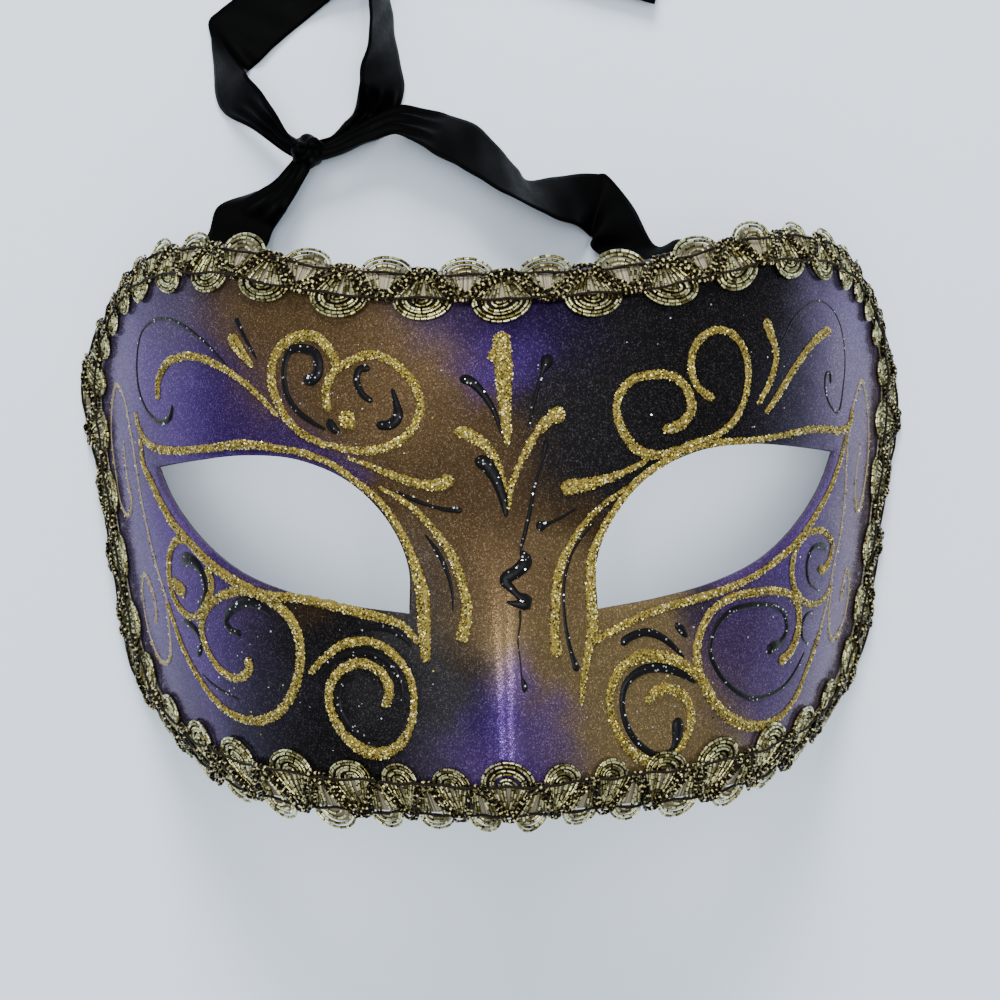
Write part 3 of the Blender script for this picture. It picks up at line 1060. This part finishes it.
def glitter_piece(material):
    """Glitter flakes packed on the gold strokes and spread on the thin ones, with a few strays beside."""
    flat = []
    lift = []
    for strokes, density in ((GOLD_STROKES, PACKED_GLITTER), (THIN_STROKES, SPREAD_GLITTER)):
        for rows in strokes.values():
            places, dome, middle = scatter(rows, density, 0, GLITTER_REACH)
            flat.append(places)
            lift.append(GLITTER_DOME * dome + rng.uniform(*GLITTER_LIFTS, len(places)))
            strays = len(places) // GLITTER_PER_STRAY
            at = rng.choice(len(middle), strays)
            flat.append(middle[at] + rng.normal(0, STRAY_REACH, (strays, 2)))
            lift.append(np.full(strays, STRAY_LIFT))
    flat, lift = clear_of_eyes(flat, lift)
    points, faces = flakes(flat, lift, rng.uniform(*GLITTER_SIZES, len(flat)), GLITTER_TILT)
    shades = np.array([linear(*shade) for shade in GLITTER_SHADES])
    tint = shades[rng.choice(len(shades), len(flat), p=GLITTER_SHARES)]
    values = {"tint": np.repeat(tint, 4, 0)}
    mesh_piece("scroll_glitter", points, faces, [material], "painted_shell", values, smooth=False)


def speck_piece(material):
    """Silver specks caught in the black liner and scattered over the dark paint."""
    flat = []
    lift = []
    for rows in BLACK_STROKES.values():
        places, dome, _ = scatter(rows, SPECKS_IN_LINER, 1, SPECK_REACH)
        flat.append(places)
        lift.append(SPECK_DOME * dome + SPECK_LIFT)
    for s, v, spread, count in LOOSE_SPECKS:
        flat.append(np.array([s, v]) + rng.normal(0, spread, (count, 2)))
        lift.append(np.full(count, LOOSE_SPECK_LIFT))
    flat, lift = clear_of_eyes(flat, lift)
    points, faces = flakes(flat, lift, rng.uniform(*SPECK_SIZES, len(flat)), SPECK_TILT)
    mesh_piece("liner_specks", points, faces, [material], "painted_shell", smooth=False)


def glitter_material():
    material, tree, main = new_material("gold glitter", Metallic=0.75, Roughness=0.3)
    feed(tree, main["Base Color"], attribute(tree, "tint", "Color"))
    return material


def speck_material():
    material, tree, main = new_material("silver speck", Base_Color=linear(226, 226, 234), Metallic=1.0)
    dust = noise(tree, scale=3000.0, detail=2.0)
    feed(tree, main["Roughness"], maths(tree, "MULTIPLY", dust, SPECK_ROUGHNESS))
    return material


glue = grained_material("gold glue", scale=2600.0, detail=2.0, strength=0.8, depth=0.3,
                        shades=((60, 48, 14), (166, 146, 64)), Metallic=0.5, Roughness=0.45)
thin_gold = grained_material("thin pale gold", scale=1800.0, detail=3.0, strength=0.5, depth=0.2,
                             shades=((110, 98, 84), (168, 152, 118)), Metallic=0.3, Roughness=0.5)
liner = grained_material("black liner", scale=900.0, detail=2.0, strength=0.35, depth=0.4,
                         Base_Color=linear(10, 9, 10), Roughness=0.36, Specular_IOR_Level=0.14)
stroke_piece("scroll_glue", GOLD_STROKES, glue, spacing=0.5, height_share=0.28, ragged=0.09)
stroke_piece("thin_scrolls", THIN_STROKES, thin_gold, spacing=0.5, height_share=0.2, ragged=0.06)
stroke_piece("liner_strokes", BLACK_STROKES, liner, spacing=0.4, height_share=0.24, ragged=0.02)
glitter_piece(glitter_material())
speck_piece(speck_material())

# Braid: repeats counted from the top centre to places along the outline, then its sizes
BRAID_ARCS = (0, 58, 82, 107, 143, 182, 227, 258)
BRAID_COUNTS = (0, 4, 6, 9, 12, 15, 18, 20)
BRAID_HALF_REPEATS = 23
BRAID_REPEATS = 2 * BRAID_HALF_REPEATS
BRAID_WIDE_REPEAT = 14.5
BRAID_SHIFT = 0.06
BRAID_LAST_REPEAT = 10.8
BRAID_INNER_ROOT = 6.1
BRAID_OUTER_ROOT = 1.4
BRAID_UP_STEP = 3
# How far the braid's outer side leans out past the shell's edge, at counts of repeats from the top centre
FLARE_COUNTS = (0, 6, 9, 12, 14, 14.6, 15.5, 17, 19, 21, 23)
FLARES = (0, 0.3, 0.6, 0.8, 1.3, 2.6, 4, 3.6, 2.4, 1.4, 0.8)
# Two places where the braid hangs loose: count of repeats, and how far it stands out
BULGES = ((36, 2.4), (11, 1.4))
BULGE_HALF_WIDTH = 0.9
# Gold cords of a fan: half the width of its scallop as a share of a repeat, and the scallop's depth
INNER_FAN = ((0.345, 3.6), (0.305, 3.05), (0.235, 2.4), (0.195, 1.9), (0.115, 1.15), (0.06, 0.6))
OUTER_FAN = ((0.33, 3.3), (0.275, 2.5), (0.2, 1.65), (0.12, 0.8))
FAN_WAIST = 0.25
FAN_TURN = np.linspace(0, math.pi, 13)
FAN_LEG = np.linspace(0, 1, 5)[:-1]
# A fan's size is a base and a share of the local repeat; the rest is how uneven the fans are
FAN_SIZE_BASE = 0.45
FAN_SIZE_SHARE = 0.55
FAN_SIZE_SPREAD = 0.06
FAN_PLACE_SPREAD = 0.025
FAN_SKEW_SPREAD = 0.035
CENTRE_FAN_SIZE = 1.3
# Gold cords: radius and its least share, lift, steps between neighbours, ripple of the lift, and stitches
GOLD_CORD_RADIUS = 0.28
GOLD_CORD_LEAST = 0.75
GOLD_CORD_LIFT = 0.75
GOLD_CORD_STEP = 0.14
GOLD_CORD_RIPPLE = (0.1, 9)
GOLD_CORD_RIPPLE_START = 2
GOLD_CORD_SIDES = 6
GOLD_SEGMENT = 1.2
GOLD_SEGMENT_DRIFT = (0.25, 1.9)
GOLD_FIRST_SEGMENT = 500
GOLD_STITCH_SHARE = 0.17
GOLD_LUCK = 1.2
GOLD_WEAR = (1.8, -1.0)
GROUND_SHARE = 0.9
GROUND_LIFT = 0.35
TAPE_STEPS = 10
TAPE_INSET = 0.2
TAPE_LIFTS = (0.5, 0.25)
TAPE_FIBRES = 36.0
# Dark cords: offsets from the middle, sizes, and waves as height and turns round the braid
DARK_CORD_OFFSETS = (-1.2, -0.4, 0.4, 1.2)
DARK_CORD_MIDDLE = 3.5
DARK_CORD_SWING = 2.5
DARK_CORD_RADIUS = 0.33
DARK_CORD_LIFT = 1.5
DARK_CORD_STEPS = 3600
DARK_CORD_LEAST_SIZE = 0.65
DARK_SWAYS = ((0.2, 157), (0.16, 239))
DARK_SWING_WAVE = (0.08, 77)
DARK_LIFT_WAVE = (0.35, 69)
DARK_LIFT_RIPPLE = (0.15, 201, 0)
# Outer and inner limits of the dark cords, and the step of each from one cord to the next
DARK_OUTER_LIMIT = (0.4, 0.25)
DARK_INNER_LIMIT = (BRAID_INNER_ROOT + 0.9, -0.2)
DARK_BEAD = 1.1
DARK_BEAD_DRIFT = (1, 1.3, 0)
DARK_BEAD_RELIEF = 0.28
DARK_BEAD_TOP = 0.35
# Binding threads: lifts and starts of the inner and the outer one, and waves as height and turns a repeat
BINDING_RADIUS = 0.26
BINDING_LIFTS = (1.7, 1.2)
BINDING_STARTS = (0, 3)
BINDING_STEPS = 16
BINDING_WANDER = (0.15, 4.7)
BINDING_RIPPLE = (0.1, 11, 0)
BINDING_LIFT_WAVE = (0.15, 7)
THIN_CORD_SIDES = 5


def braid_arc(phase):
    """The way along the outline at a count of repeats from the top centre."""
    phase = np.mod(phase, BRAID_REPEATS)
    near = np.minimum(phase, BRAID_REPEATS - phase)
    half_way = OUTLINE_LENGTH / 2
    counts = (*BRAID_COUNTS, BRAID_HALF_REPEATS - 1, BRAID_HALF_REPEATS)
    arc = np.interp(near, counts, (*BRAID_ARCS, half_way - BRAID_LAST_REPEAT, half_way))
    return np.where(phase <= BRAID_HALF_REPEATS, arc, OUTLINE_LENGTH - arc)


def braid_size(phase):
    """The local length of a repeat as a share of the widest one."""
    return np.mod(braid_arc(phase + 0.5) - braid_arc(phase - 0.5), OUTLINE_LENGTH) / BRAID_WIDE_REPEAT


def braid_line(phase, inset, lift):
    """Points on the table along the braid, its outer side leaning out, with the way off the face at each."""
    arc = braid_arc(phase + BRAID_SHIFT * (1 + np.cos(2 * math.pi * phase / BRAID_REPEATS)))
    count = np.mod(phase, BRAID_REPEATS)
    flare = np.interp(np.minimum(count, BRAID_REPEATS - count), FLARE_COUNTS, FLARES)
    for middle, reach in BULGES:
        flare = flare + reach * np.exp(-((count - middle) / BULGE_HALF_WIDTH) ** 2)
    share = np.clip((BRAID_INNER_ROOT - inset) / (BRAID_INNER_ROOT - BRAID_OUTER_ROOT), 0, 1)
    points = on_table(edge_point(arc, inset, lift))
    above = on_table(edge_point(arc, inset, lift + BRAID_UP_STEP))
    outward = on_table(edge_point(arc, inset - 1, lift)) - points
    outward[..., 2] = 0
    return points + unit(outward) * (flare * share)[..., None], unit(above - points)


def fan_cords(middle, fan, root, far_root, skew, size):
    """Phase and inset along each cord of a fan: up one leg, round the scallop and down the other leg."""
    outward = math.copysign(1, root - far_root)
    rise = far_root + (root - far_root) * FAN_LEG
    for half_width, deep in fan:
        leg = half_width * (FAN_WAIST + (1 - FAN_WAIST) * FAN_LEG)
        scallop = middle - half_width * np.cos(FAN_TURN) + skew * np.sin(FAN_TURN)
        inset = root + outward * deep * size * np.sin(FAN_TURN)
        phase = np.concatenate([middle - leg, scallop, middle + leg[::-1]])
        yield phase, np.concatenate([rise, inset, rise[::-1]])


def fans():
    """Every fan as its middle, cords, both roots, lean and size; a little uneven, as worked by hand."""
    for n in range(BRAID_REPEATS):
        for middle, fan, root, far_root in (
            (n, INNER_FAN, BRAID_INNER_ROOT, BRAID_OUTER_ROOT),
            (n + 0.5, OUTER_FAN, BRAID_OUTER_ROOT, BRAID_INNER_ROOT),
        ):
            size = FAN_SIZE_BASE + FAN_SIZE_SHARE * float(braid_size(np.array(middle)))
            size *= rng.normal(1, FAN_SIZE_SPREAD)
            if middle == BRAID_HALF_REPEATS:
                fan = [(half_width * CENTRE_FAN_SIZE, deep * CENTRE_FAN_SIZE) for half_width, deep in fan]
            middle += rng.normal(0, FAN_PLACE_SPREAD)
            yield middle, fan, root, far_root, rng.normal(0, FAN_SKEW_SPREAD), size


def gold_cord_piece(material, braid_fans):
    """Thin gold cords nested in fans, the wide ends of which scallop both sides of the braid."""
    cords = []
    ticks = []
    for fan in braid_fans:
        for number, (phase, inset) in enumerate(fan_cords(*fan)):
            ripple = waves([(*GOLD_CORD_RIPPLE, GOLD_CORD_RIPPLE_START * number)], phase)
            line, normal = braid_line(phase, inset, GOLD_CORD_LIFT + GOLD_CORD_STEP * (number % 2) + ripple)
            radius = np.full(len(line), GOLD_CORD_RADIUS * np.clip(fan[-1], GOLD_CORD_LEAST, 1))
            cords.append(tube(line, normal, radius, GOLD_CORD_SIDES, False))
            way = np.cumsum(np.linalg.norm(np.diff(line, axis=0, prepend=line[:1]), axis=1))
            drift = waves([(*GOLD_SEGMENT_DRIFT, number)], way)
            tick = way / GOLD_SEGMENT + drift + rng.uniform(0, GOLD_FIRST_SEGMENT)
            ticks.append(np.repeat(tick, GOLD_CORD_SIDES))
    values = {"tick": np.concatenate(ticks)}
    piece = mesh_piece("braid_gold_cords", *joined(cords), [material], "gold_braid", values)
    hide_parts("edge_braid")


def ground_piece(materials, braid_fans):
    """The ground under the cords: dark within an inner scallop, pale within an outer one."""
    points = []
    faces = []
    kinds = []
    for middle, fan, root, far_root, skew, size in braid_fans:
        inner = root > far_root
        half_width, deep = fan[0 if inner else 1]
        phase = middle - GROUND_SHARE * half_width * np.cos(FAN_TURN) + skew * np.sin(FAN_TURN)
        inset = root + math.copysign(GROUND_SHARE, root - far_root) * deep * size * np.sin(FAN_TURN)
        line = braid_line(phase, inset, np.full(len(phase), GROUND_LIFT))[0]
        face = np.arange(len(line)) + len(points) * len(line)
        faces.append(face[::-1] if inner else face)
        points.append(line)
        kinds.append(0 if inner else 1)
    points = np.vstack(points)
    values = {"phase": points[:, 0]}
    mesh_piece("braid_ground", points, faces, materials, "gold_braid", values, kinds, smooth=False)


def tape_piece(material):
    """The braid's own woven tape, lying flat between its root lines."""
    phase = np.arange(BRAID_REPEATS * TAPE_STEPS) / TAPE_STEPS
    inner = BRAID_INNER_ROOT - TAPE_INSET
    outer = BRAID_OUTER_ROOT + TAPE_INSET
    top, bottom = TAPE_LIFTS
    rows = [
        braid_line(phase, np.full(len(phase), inset), np.full(len(phase), lift))[0]
        for inset, lift in ((inner, top), (outer, top), (outer, bottom), (inner, bottom))
    ]
    points = np.stack(rows, 1).reshape(-1, 3)
    quads = ring_faces(len(phase), len(rows), True)
    values = {"phase": np.repeat(phase, len(rows))}
    mesh_piece("braid_tape", points, quads, [material], "gold_braid", values, smooth=False)


def dark_cord_piece(material):
    """Four beaded dark cords weaving between the fans and looping a little past both root lines."""
    grid = np.linspace(0, BRAID_REPEATS, 4 * DARK_CORD_STEPS, endpoint=False)
    arc = np.linspace(0, OUTLINE_LENGTH, DARK_CORD_STEPS, endpoint=False)
    phase = np.interp(arc, braid_arc(grid), grid)
    round_braid = 2 * math.pi * phase / BRAID_REPEATS
    size = np.clip(braid_size(phase), DARK_CORD_LEAST_SIZE, 1)
    cords = []
    beads = []
    for number, offset in enumerate(DARK_CORD_OFFSETS):
        *sway_starts, swing_start, lift_start = rng.uniform(0, 2 * math.pi, 4)
        sway = waves([(*wave, start) for wave, start in zip(DARK_SWAYS, sway_starts)], round_braid)
        swing = DARK_CORD_SWING * (1 + waves([(*DARK_SWING_WAVE, swing_start)], round_braid))
        inset = DARK_CORD_MIDDLE - swing * np.cos(2 * math.pi * phase) + (offset + sway) * size
        low, high = (limit + step * number for limit, step in (DARK_OUTER_LIMIT, DARK_INNER_LIMIT))
        lift = DARK_CORD_LIFT + waves([(*DARK_LIFT_WAVE, lift_start), DARK_LIFT_RIPPLE], round_braid)
        line, normal = braid_line(phase, np.clip(inset, low, high), lift)
        way = np.cumsum(np.linalg.norm(np.diff(line, axis=0, prepend=line[-1:]), axis=1))
        bead = np.cos(2 * math.pi * way / DARK_BEAD + waves([DARK_BEAD_DRIFT], way))
        radius = DARK_CORD_RADIUS * size * (1 + DARK_BEAD_RELIEF * bead)
        cords.append(tube(line, normal, radius, THIN_CORD_SIDES, True))
        beads.append(np.repeat(bead, THIN_CORD_SIDES))
    values = {"bead": np.concatenate(beads)}
    mesh_piece("braid_dark_cords", *joined(cords), [material], "gold_braid", values)


def binding_piece(material):
    """Thin black threads stitched along both root lines of the braid."""
    phase = np.arange(BRAID_REPEATS * BINDING_STEPS) / BINDING_STEPS
    radius = np.full(len(phase), BINDING_RADIUS)
    cords = []
    for inset, lift, start in zip((BRAID_INNER_ROOT, BRAID_OUTER_ROOT), BINDING_LIFTS, BINDING_STARTS):
        wander = waves([(*BINDING_WANDER, start), BINDING_RIPPLE], phase)
        rise = waves([(*BINDING_LIFT_WAVE, start)], phase)
        line, normal = braid_line(phase, inset + wander, lift + rise)
        cords.append(tube(line, normal, radius, THIN_CORD_SIDES, True))
    mesh_piece("braid_binding", *joined(cords), [material], "gold_braid")


def gold_cord_material():
    material, tree, main = new_material("gold cord", Metallic=1.0, Roughness=0.28)
    tick = attribute(tree, "tick")
    stitch = maths(tree, "LESS_THAN", maths(tree, "FRACT", tick), GOLD_STITCH_SHARE)
    segment = maths(tree, "FLOOR", tick)
    luck = add(tree, "ShaderNodeTexWhiteNoise", {"W": segment}, noise_dimensions="1D").outputs["Value"]
    wear = noise(tree, scale=1500.0, detail=3.0)
    tone = maths(tree, "MULTIPLY_ADD", luck, GOLD_LUCK, maths(tree, "MULTIPLY_ADD", wear, *GOLD_WEAR))
    tone = add(tree, "ShaderNodeClamp", {"Value": tone}).outputs[0]
    metal = blend(tree, tone, linear(104, 92, 42), linear(255, 250, 188))
    feed(tree, main["Base Color"], blend(tree, stitch, metal, linear(16, 13, 8)))
    roughen(tree, main, wear, strength=0.5, depth=0.4)
    return material


def dark_cord_material():
    material, tree, main = new_material("dark beaded cord", Metallic=0.7, Roughness=0.3,
                                        Specular_IOR_Level=0.1)
    top = maths(tree, "GREATER_THAN", attribute(tree, "bead"), DARK_BEAD_TOP)
    shine = ranged(tree, noise(tree, scale=1300.0, detail=1.0), low=0.48, high=0.6)
    bead = blend(tree, shine, linear(44, 36, 16), linear(236, 220, 150))
    feed(tree, main["Base Color"], blend(tree, top, linear(14, 11, 6), bead))
    return material


def tape_material():
    material, tree, main = new_material("braid tape", Roughness=0.6, Metallic=0.15)
    where = maths(tree, "MULTIPLY", attribute(tree, "phase"), TAPE_FIBRES)
    fibre = add(tree, "ShaderNodeTexNoise", {"W": where, "Scale": 1.0, "Detail": 3.0}, noise_dimensions="1D")
    spread = ranged(tree, fibre.outputs["Fac"], low=0.3, high=0.7)
    feed(tree, main["Base Color"], blend(tree, spread, linear(70, 62, 50), linear(172, 162, 138)))
    return material


thread = grained_material("black thread", scale=2000.0, detail=3.0, strength=0.6, depth=0.3,
                          Base_Color=linear(24, 18, 12), Roughness=0.7, Specular_IOR_Level=0.15)
tape = tape_material()
braid_fans = list(fans())
gold_cord_piece(gold_cord_material(), braid_fans)
ground_piece([thread, tape], braid_fans)
tape_piece(tape)
dark_cord_piece(dark_cord_material())
binding_piece(thread)

# Light: how bright the room is all round and straight overhead, two long lamps over the mask, and a window
SKY_AROUND = 0.64
SKY_OVERHEAD = 2.9
SKY_RISES_FROM = 0.7
SKY_COLOUR = (228, 233, 240)
LAMP_SPOTS = ((-0.2, -0.15, 1.2), (0.2, -0.15, 1.2))
LAMP_WIDTH = 0.06
LAMP_LENGTH = 0.45
LAMP_POWER = 2.5
WINDOW_SPOT = (-0.05, 1.2, 0.8)
WINDOW_SIZE = 0.6
WINDOW_POWER = 34.0
# Table: half its size, its corners, two tints, and the range and least of its roughness
TABLE_HALF = 3.0
TABLE_CORNERS = ((-1, -1, 0), (1, -1, 0), (1, 1, 0), (-1, 1, 0))
TABLE_TINTS = ((213, 225, 238), (219, 230, 241))
TABLE_ROUGHNESS = (0.2, 0.45)


def area_light(name, spot, wide, long, power):
    data = bpy.data.lights.new(name, "AREA")
    data.shape = "RECTANGLE"
    data.size = wide
    data.size_y = long
    data.energy = power
    light = bpy.data.objects.new(name, data)
    light.location = spot
    bpy.context.scene.collection.objects.link(light)
    return light


def table_piece():
    """A plain pale table, clouded very slightly."""
    material, tree, main = new_material("table")
    cloud = noise(tree, scale=9.0, detail=5.0)
    feed(tree, main["Base Color"], blend(tree, cloud, *(linear(*tint) for tint in TABLE_TINTS)))
    feed(tree, main["Roughness"], maths(tree, "MULTIPLY_ADD", cloud, *TABLE_ROUGHNESS))
    mesh = bpy.data.meshes.new("table")
    mesh.from_pydata((np.array(TABLE_CORNERS) * TABLE_HALF).tolist(), [], [(0, 1, 2, 3)])
    mesh.materials.append(material)
    table = bpy.data.objects.new("table", mesh)
    bpy.context.scene.collection.objects.link(table)
    return table


def set_stage():
    """The table, a window behind the mask, two long lamps overhead, and soft light from the room."""
    table = table_piece()
    window = area_light("window", WINDOW_SPOT, WINDOW_SIZE, WINDOW_SIZE, WINDOW_POWER)
    window.visible_glossy = False
    window.rotation_euler = (-Vector(WINDOW_SPOT)).to_track_quat("-Z", "Y").to_euler()
    lamps = [area_light("lamp", spot, LAMP_WIDTH, LAMP_LENGTH, LAMP_POWER) for spot in LAMP_SPOTS]
    world = bpy.data.worlds.new("studio")
    world.use_nodes = True
    sky = world.node_tree
    glow = sky.nodes["Background"].inputs
    way = add(sky, "ShaderNodeTexCoord").outputs["Generated"]
    way_up = add(sky, "ShaderNodeSeparateXYZ", {0: way}).outputs[2]
    strength = ranged(sky, way_up, SKY_RISES_FROM, 1.0, SKY_AROUND, SKY_OVERHEAD)
    feed(sky, glow["Strength"], strength)
    feed(sky, glow["Color"], linear(*SKY_COLOUR))
    bpy.context.scene.world = world


set_stage()
